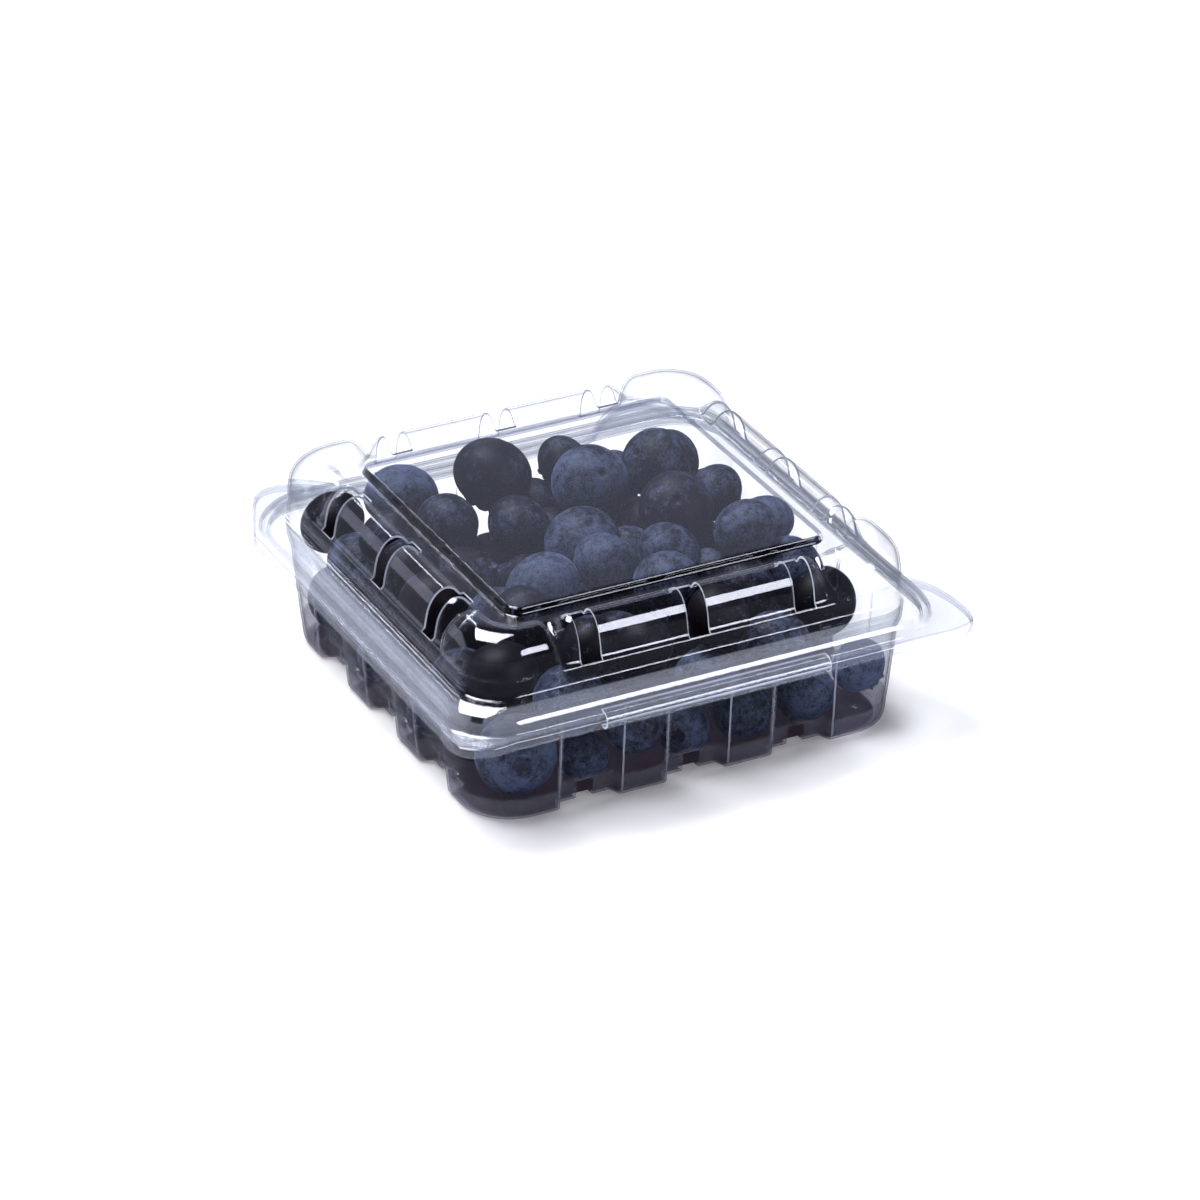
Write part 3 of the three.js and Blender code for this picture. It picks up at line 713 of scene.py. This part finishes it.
def push_apart(a, b):
    """Moves two overlapping berries apart; a placed berry stays where it is against a loose one."""
    gap = [b[axis] - a[axis] for axis in "xyz"]
    distance = math.hypot(*gap)
    overlap = (a["r"] + b["r"]) * TOUCH_SHARE - distance
    if overlap <= 0:
        return
    share = 0.5 if a["placed"] == b["placed"] else float(b["placed"])
    for axis, part in zip("xyz", gap):
        a[axis] -= part * overlap / distance * share
        b[axis] += part * overlap / distance * (1 - share)


def add_loose_berries(berries):
    """Adds rows of loose berries wherever there is room for them."""
    random = random_stream(HEAP_SEED)

    def jitter():
        return (next(random) - 0.5) * 2 * FILLER_JITTER

    for height, count, pitch in LAYERS:
        middle = (count - 1) / 2
        for row in range(count):
            for column in range(count):
                x = (column - middle) * pitch + jitter()
                y = (row - middle) * pitch + jitter()
                z = height + jitter() * UPRIGHT_SHARE
                r = (FILLER_DIAMETER[0] + next(random) * (FILLER_DIAMETER[1] - FILLER_DIAMETER[0])) / 2
                free = all(
                    math.dist((o["x"], o["y"], o["z"]), (x, y, z)) > (o["r"] + r) * FREE_SHARE
                    for o in berries
                )
                kept_open = z > HEADROOM["z"] and (x > HEADROOM["x"] or y > HEADROOM["y"])
                if free and not kept_open:
                    berries.append({"x": x, "y": y, "z": z, "r": r, "placed": False})


def settle(berries):
    """Pushes the berries apart and back inside the pack, many times over."""
    for _ in range(SETTLE_ROUNDS):
        for i, a in enumerate(berries):
            for b in berries[i + 1:]:
                push_apart(a, b)
        for berry in berries:
            reach = berry["r"] if berry["placed"] else berry["r"] * FILLER_SWELL
            for axis, other in ("xy", "yx"):
                room = room_for(berry, reach, berry[other])
                berry[axis] = max(-room, min(room, berry[axis]))
            clear_of_corner(berry, reach)
            berry["z"] = max(CAD_SHEET + WALL_GAP + reach, min(ceiling_for(berry, reach), berry["z"]))


berries = [{"x": x, "y": y, "z": z, "r": d / 2, "placed": True} for x, y, z, d in PLACED_BERRIES]
add_loose_berries(berries)
settle(berries)
print("settled", len(berries), "berries")

# %% [markdown]
# ## One berry
# A blueberry is a slightly flattened ball. On top it keeps the flower's crown: a shallow cup with a raised
# lip of five short teeth. Below is the small scar where it came off its stem. Half of that outline is drawn
# as a line of points and spun round the berry's axis; the teeth are then pulled up from the lip.

# %% Berry template
BERRY_FLATNESS = 0.88
BERRY_STEPS = 30
CROWN_PROFILE = [
    (0.0, 0.80), (0.06, 0.79), (0.13, 0.81), (0.19, 0.80), (0.235, 0.815), (0.265, 0.85), (0.29, 0.886),
    (0.32, 0.884), (0.37, 0.838),
]
SCAR_PROFILE = [(0.16, -0.868), (0.12, -0.855), (0.07, -0.80), (0.0, -0.79)]
SIDE_FROM, SIDE_TO, SIDE_STEPS = 62, -78, 14
SAME_POINT = 1e-5


def berry_outline():
    """Half of a berry's outline from the crown to the stem scar, for a berry of radius 1."""
    start, end = math.radians(SIDE_FROM), math.radians(SIDE_TO)
    side = []
    for step in range(SIDE_STEPS + 1):
        angle = start + (end - start) * step / SIDE_STEPS
        side.append((math.cos(angle), BERRY_FLATNESS * math.sin(angle)))
    return CROWN_PROFILE + side + SCAR_PROFILE


def berry_template():
    """A bmesh of one berry of radius 1 about the origin, crown up."""
    bm = bmesh.new()
    line = [bm.verts.new((r, 0, z)) for r, z in berry_outline()]
    edges = [bm.edges.new(pair) for pair in zip(line, line[1:])]
    bmesh.ops.spin(
        bm, geom=line + edges, cent=(0, 0, 0), axis=(0, 0, 1), angle=math.tau, steps=BERRY_STEPS,
        use_merge=True,
    )
    bmesh.ops.remove_doubles(bm, verts=bm.verts, dist=SAME_POINT)
    bmesh.ops.recalc_face_normals(bm, faces=bm.faces)
    return bm


template = berry_template()
print("one berry has", len(template.faces), "faces")

# %% [markdown]
# ## All the berries
# Every berry is a copy of the template with its own size, tilt and small unevenness. The crowns that show
# face a chosen way, given as a share of the radius to the right and up as the camera sees it; so do a few
# stem scars. Three numbers go with each point for the skin to read: how much wax the berry kept, how deep
# the point lies in the crown, and the skin's tint. The wax also carries painted shade: berries under the
# lid's shoulder are given little of it, so they show nearly as dark as bare skin, and the one in the front
# corner's dome is made fully bare and darkest.

# %% Berry mesh
CROWNS = {16: (0.17, -0.30), 17: (0.095, -0.22), 18: (-0.22, -0.32), 19: (-0.13, 0.62)}
SCARS = {3: (0.37, 0.27), 4: (-0.60, 0.27), 5: (0.0, 0.23), 9: (0.226, 0.60)}
TURNED_AWAY = (0, 1, 2, 6, 7, 8, 10, 11, 12, 13, 14, 15, 20, 21, 22)
WAXES = {
    0: 0.85, 1: 0.2, 2: 0.3, 3: 0.8, 4: 0.45, 5: 0.3, 6: 0.5, 7: 0.6, 9: 0.68, 10: 0.8, 11: 0.8, 12: 0.6,
    13: 0.7, 14: 0.35, 15: 0.4, 16: 0.88, 17: 0.7, 18: 0.8, 19: 0.7, 20: 0.88, 21: 0.92, 22: 0.88,
}
# The shoulder zone where berries get less wax as painted shade, and how much they keep.
SHOULDER_SHADE_ZONE = {"x": -33, "y": -30, "z": 24}
FRONT_CORNER = -28
SHADE_WAX_SHARE, SHADE_WAX_LESS, DEEPEST_SHADE_WAX = 0.3, 0.05, -0.6
DROOP, WANDER = 0.8, 0.6
CROWN_POINTS = 5
RIDGES_START, LIP_START, LIP_END = 0.1, 0.24, 0.34
RIDGE_HEIGHT, TOOTH_HEIGHT, TOOTH_SPREAD, LIP_DROP = 0.04, 0.07, 0.06, 0.01
CUP_RADIUS, CUP_POINTS, CUP_EDGE, CUP_DEPTH = 0.28, 0.07, 0.14, 0.7
SCAR_RADII, SCAR_DEPTH = (0.06, 0.12), 0.5
SMALLEST_STRETCH, STRETCH_RANGE = 0.985, 0.03


def star(vert):
    """How near a point lies to one of the crown's five points: 1 on it, -1 between two."""
    return math.cos(CROWN_POINTS * math.atan2(vert.co.y, vert.co.x))


def lift_teeth(vert):
    """Lifts the crown's lip into five teeth that go on into the cup as five ridges."""
    radius = math.hypot(vert.co.x, vert.co.y)
    if RIDGES_START < radius < LIP_END and vert.co.z > 0:
        on_lip = radius > LIP_START
        height = TOOTH_HEIGHT if on_lip else RIDGE_HEIGHT
        vert.co.z += height * (0.5 + 0.5 * star(vert)) - LIP_DROP
        vert.co.xy *= 1 + (TOOTH_SPREAD if on_lip else 0.0) * star(vert)


def crown_depth(vert):
    """How deep a point lies in the star-shaped crown, or below in the round stem scar."""
    radius = math.hypot(vert.co.x, vert.co.y)
    if vert.co.z > 0:
        cup = CUP_RADIUS - CUP_POINTS * star(vert)
        return (1 - smooth_step(radius, cup - CUP_EDGE, cup)) * CUP_DEPTH
    return (1 - smooth_step(radius, *SCAR_RADII)) * SCAR_DEPTH


def berry_axis(index, at_shoulder, height, heading):
    """Which way a berry's crown points: a chosen way, turned aside, or the way it happened to fall."""
    if index in CROWNS or index in SCARS:
        right, up = (CROWNS | SCARS)[index]
        axis = rightward * right + upward * up - forward * math.sqrt(1 - right * right - up * up)
        return axis * (1 if index in CROWNS else -1)
    flat = math.sqrt(1 - height * height)
    axis = Vector((flat * math.cos(heading), flat * math.sin(heading), height))
    if index in TURNED_AWAY or at_shoulder:
        axis = Vector((0, 0, -DROOP)) + axis * WANDER
        return (axis - forward * axis.dot(forward)).normalized()
    return axis


def make_berries():
    """One mesh with every berry, and the wax, crown and tint of each point."""
    random = random_stream(SKIN_SEED)
    base = bpy.data.meshes.new("berry_template")
    for vert in template.verts:
        lift_teeth(vert)
    template.to_mesh(base)
    bm = bmesh.new()
    values = {"wax_and_painted_shade": [], "crown": [], "tint": []}
    for index, berry in enumerate(berries):
        known = len(bm.verts)
        bm.from_mesh(base)
        bm.verts.ensure_lookup_table()
        fresh = bm.verts[known:]
        values["crown"] += [crown_depth(vert) for vert in fresh]
        at_shoulder = berry["z"] > SHOULDER_SHADE_ZONE["z"] and (berry["x"] < SHOULDER_SHADE_ZONE["x"] or berry["y"] < SHOULDER_SHADE_ZONE["y"])
        height, heading = next(random) * 2 - 1, next(random) * math.tau
        axis = berry_axis(index, at_shoulder, height, heading)
        tilt = axis.to_track_quat("Z", "Y").to_matrix() @ Matrix.Rotation(next(random) * math.tau, 3, "Z")
        stretch = Matrix.Diagonal([SMALLEST_STRETCH + STRETCH_RANGE * next(random) for _ in range(3)])
        shape = (tilt @ stretch * berry["r"] * MM).to_4x4()
        place = Matrix.Translation(Vector((berry["x"], berry["y"], berry["z"])) * MM)
        bmesh.ops.transform(bm, matrix=place @ shape, verts=fresh)
        wax_and_painted_shade, tint = next(random), next(random)
        wax_and_painted_shade = WAXES.get(index, wax_and_painted_shade)
        # Painted shade: under the shoulder the wax is cut, to nothing in the front corner's dome.
        if at_shoulder:
            in_dome = max(berry["x"], berry["y"]) <= FRONT_CORNER
            wax_and_painted_shade = DEEPEST_SHADE_WAX if in_dome else SHADE_WAX_SHARE * wax_and_painted_shade - SHADE_WAX_LESS
        values["wax_and_painted_shade"] += [wax_and_painted_shade] * len(fresh)
        values["tint"] += [tint] * len(fresh)
    mesh = bpy.data.meshes.new("blueberries")
    bm.to_mesh(mesh)
    bm.free()
    bpy.data.meshes.remove(base)
    for name, numbers in values.items():
        mesh.attributes.new(name, "FLOAT", "POINT").data.foreach_set("value", numbers)
    mesh.shade_smooth()
    return mesh


berry_mesh = make_berries()
print("the berries have", len(berry_mesh.polygons), "faces")

# %% [markdown]
# ## Blueberry skin
# The skin itself is nearly black, with a purple cast where it is thin. Over it lies bloom, a wax that
# scatters light and looks pale grey-blue; handling rubs it off in patches and scratches, so bare skin shows
# dark between. The skin is therefore a dark, slightly glossy surface under a patchy layer of pale, dull
# wax.

# %% Blueberry skin material
skin, tree = new_material("blueberry_skin_with_bloom")
place = add_node(tree, "ShaderNodeTexCoord").outputs["Object"]
wax_and_painted_shade = add_node(tree, "ShaderNodeAttribute", attribute_name="wax_and_painted_shade").outputs["Fac"]
crown = add_node(tree, "ShaderNodeAttribute", attribute_name="crown").outputs["Fac"]
tint = add_node(tree, "ShaderNodeAttribute", attribute_name="tint").outputs["Fac"]
PATCH_MM, RUB_MM, SPECK_MM = 7.0, 1.6, 0.35
SPECK_SHARE, WAX_SHARE, VELVET_SHARE = 0.65, 0.5, 0.5
BARE_BELOW, COATED_ABOVE = 1.50, 1.90
BARE_ROUGHNESS, COATED_ROUGHNESS = 0.5, 0.62
PIT_STRENGTH, PIT_DEPTH_MM = 0.35, 0.12
SKIN_IOR = 1.45

patch = add_node(tree, "ShaderNodeTexNoise", {
    "Vector": place, "Scale": 1 / (PATCH_MM * MM), "Detail": 5.0, "Roughness": 0.62,
})
rub = add_node(tree, "ShaderNodeTexNoise", {
    "Vector": place, "Scale": 1 / (RUB_MM * MM), "Detail": 4.0, "Roughness": 0.7,
})
speck = add_node(tree, "ShaderNodeTexNoise", {"Vector": place, "Scale": 1 / (SPECK_MM * MM), "Detail": 2.0})
coarse = add_node(tree, "ShaderNodeMath", {0: patch.outputs["Fac"], 1: rub.outputs["Fac"]}, operation="ADD")
grain = add_node(tree, "ShaderNodeMath", {
    0: speck.outputs["Fac"], 1: SPECK_SHARE, 2: coarse.outputs[0],
}, operation="MULTIPLY_ADD")
left_on = add_node(tree, "ShaderNodeMath", {
    0: wax_and_painted_shade, 1: WAX_SHARE, 2: grain.outputs[0],
}, operation="MULTIPLY_ADD")
cover = add_node(tree, "ShaderNodeMapRange", {
    "Value": left_on.outputs[0], "From Min": BARE_BELOW, "From Max": COATED_ABOVE,
})
bare = add_node(tree, "ShaderNodeMix", {
    "Factor": tint, "A": linear("#070912"), "B": linear("#160c13"),
}, data_type="RGBA")
coated = add_node(tree, "ShaderNodeMix", {
    "Factor": cover.outputs["Result"], "A": bare.outputs["Result"], "B": linear("#535d77"),
}, data_type="RGBA")
colour = add_node(tree, "ShaderNodeMix", {
    "Factor": crown, "A": coated.outputs["Result"], "B": linear("#2b2529"),
}, data_type="RGBA")
velvet = add_node(tree, "ShaderNodeMath", {
    0: cover.outputs["Result"], 1: VELVET_SHARE,
}, operation="MULTIPLY")
dullness = add_node(tree, "ShaderNodeMapRange", {
    "Value": cover.outputs["Result"], "To Min": BARE_ROUGHNESS, "To Max": COATED_ROUGHNESS,
})
pits = add_node(tree, "ShaderNodeBump", {
    "Height": grain.outputs[0], "Strength": PIT_STRENGTH, "Distance": PIT_DEPTH_MM * MM,
})
berry_shader = add_node(tree, "ShaderNodeBsdfPrincipled", {
    "Base Color": colour.outputs["Result"], "Roughness": dullness.outputs["Result"], "IOR": SKIN_IOR,
    "Specular IOR Level": 0.2, "Sheen Weight": velvet.outputs[0], "Sheen Roughness": 0.55,
    "Sheen Tint": linear("#8c9ac2"), "Normal": pits.outputs["Normal"],
})
add_node(tree, "ShaderNodeOutputMaterial", {"Surface": berry_shader.outputs[0]})

fruit = bpy.data.objects.new("blueberries", berry_mesh)
scene.collection.objects.link(fruit)
berry_mesh.materials.append(skin)
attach(fruit, "tray")
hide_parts("blueberry_heap")
print("made", skin.name)

# %% [markdown]
# ## The table
# The pack stands on wide white paper. One flat sheet is enough: it runs past the edges of the picture, and
# a very low view looks over it into a white room. Its mirror image in the pack is kept dim, as if dark
# cards lay just out of the picture: photographers do that so that the walls of a clear pack don't turn
# milky. A faint glow is painted on the paper, as on a light table, to lighten the shadow; only the camera
# sees it, so it lights nothing. The sheet lies a tenth of a millimetre below the tray, since the renderer
# can't tell two faces at one height apart.

# %% Table
paper, tree = new_material("white_background_paper")
FIBRE_MM = 2.5
place = add_node(tree, "ShaderNodeTexCoord").outputs["Object"]
fibre = add_node(tree, "ShaderNodeTexNoise", {
    "Vector": place, "Scale": 1 / (FIBRE_MM * MM), "Detail": 2.0,
})
shade = add_node(tree, "ShaderNodeMix", {
    "Factor": fibre.outputs["Fac"], "A": linear("#f8f5ee"), "B": linear("#fcf9f3"),
}, data_type="RGBA")
ray = add_node(tree, "ShaderNodeLightPath").outputs
mirrored_paper = add_node(tree, "ShaderNodeMix", {
    "Factor": ray["Is Glossy Ray"], "A": shade.outputs["Result"], "B": linear("#3a3d46"),
}, data_type="RGBA")
GLOW, TABLE_HALF, TABLE_GAP_MM = 0.15, 4.0, 0.1
# Painted glow: the paper glows for the camera only, which lightens its shadow.
painted_glow = add_node(tree, "ShaderNodeMath", {0: ray["Is Camera Ray"], 1: GLOW}, operation="MULTIPLY")
paper_shader = add_node(tree, "ShaderNodeBsdfPrincipled", {
    "Base Color": mirrored_paper.outputs["Result"], "Roughness": 0.9, "Emission Color": linear("#fcf9f3"),
    "Emission Strength": painted_glow.outputs[0],
})
add_node(tree, "ShaderNodeOutputMaterial", {"Surface": paper_shader.outputs[0]})

bm = bmesh.new()
bmesh.ops.create_grid(bm, x_segments=8, y_segments=8, size=TABLE_HALF)
table_mesh = bpy.data.meshes.new("paper_table")
bm.to_mesh(table_mesh)
bm.free()
table_mesh.materials.append(paper)
table = bpy.data.objects.new("paper_table", table_mesh)
scene.collection.objects.link(table)
table.location.z = -TABLE_GAP_MM * MM
print("made", table.name)

# %% [markdown]
# ## Light
# A clear, glossy pack shows whatever surrounds it, so each lamp is chosen for its mirror image as much as
# for its light. A wide lamp overhead, a little to the left and behind, lights the fruit and keeps the
# shadow close. A small box in front, to the right, draws the white line along the lid's rounded front edge.
# It works on glossy surfaces only. A low lamp beside it does the opposite: it lights the fruit behind the
# near walls, and stays out of every mirror image, where it would show as a stripe. A thin upright strip
# behind draws fine lines along the bends on the left. A dim wall of light behind veils the panel, and a
# panel at the back left brightens the left rim. The room itself is white where the camera sees it, past the
# pack or through it, and nearly dark for everything else.


# %% Lamps
def soft_lamp(name, place, target, size, watts, colour):
    """A rectangular lamp that faces its target."""
    lamp_data = bpy.data.lights.new(name, "AREA")
    lamp_data.shape = "RECTANGLE"
    lamp_data.size, lamp_data.size_y = size
    lamp_data.energy = watts
    lamp_data.color = linear(colour)[:3]
    lamp = bpy.data.objects.new(name, lamp_data)
    lamp.location = place
    lamp.rotation_euler = (Vector(target) - Vector(place)).to_track_quat("-Z", "Y").to_euler()
    scene.collection.objects.link(lamp)
    return lamp


soft_lamp("overhead_softbox", (-0.42, 0.68, 2.12), (0, 0, 0), (1.4, 1.4), 100.0, "#f3f5ff")
front_box = soft_lamp("front_box", (0.55, -1.13, 0.61), (0, 0, 0.03), (0.5, 0.48), 7.2, "#eef1ff")
front_box.visible_diffuse = False
front_fill = soft_lamp("low_front_fill", (0.7, -1.2, 0.20), (0, 0, 0.02), (0.5, 0.16), 3.4, "#cfd9ff")
front_fill.visible_glossy = False
soft_lamp("back_left_panel", (-1.9, 2.0, 0.55), (0, 0, 0.03), (1.6, 1.1), 5.0, "#dfe4ff")
soft_lamp("upright_strip", (0.29, 2.2, 1.75), (0, 0, 0.03), (0.10, 0.6), 2.6, "#eef1ff")
soft_lamp("back_wall_of_light", (0.6, 2.4, 1.35), (0, 0, 0.9), (5.0, 1.6), 5.6, "#d9deff")

# %% Room
ROOM_SEEN, ROOM_MIRRORED = 1.3, 0.08
world = bpy.data.worlds.new("studio_room")
scene.world = world
world.use_nodes = True
world.node_tree.nodes.clear()
seen = add_node(world.node_tree, "ShaderNodeLightPath").outputs["Is Camera Ray"]
level = add_node(world.node_tree, "ShaderNodeMapRange", {
    "Value": seen, "To Min": ROOM_MIRRORED, "To Max": ROOM_SEEN,
})
hue = add_node(world.node_tree, "ShaderNodeMix", {
    "Factor": seen, "A": linear("#d3d9ff"), "B": linear("#ffffff"),
}, data_type="RGBA")
room = add_node(world.node_tree, "ShaderNodeBackground", {
    "Color": hue.outputs["Result"], "Strength": level.outputs["Result"],
})
add_node(world.node_tree, "ShaderNodeOutputWorld", {"Surface": room.outputs[0]})
MOST_SHEETS_SEEN_THROUGH = 32
scene.cycles.transparent_max_bounces = MOST_SHEETS_SEEN_THROUGH
scene.view_settings.view_transform = "Standard"
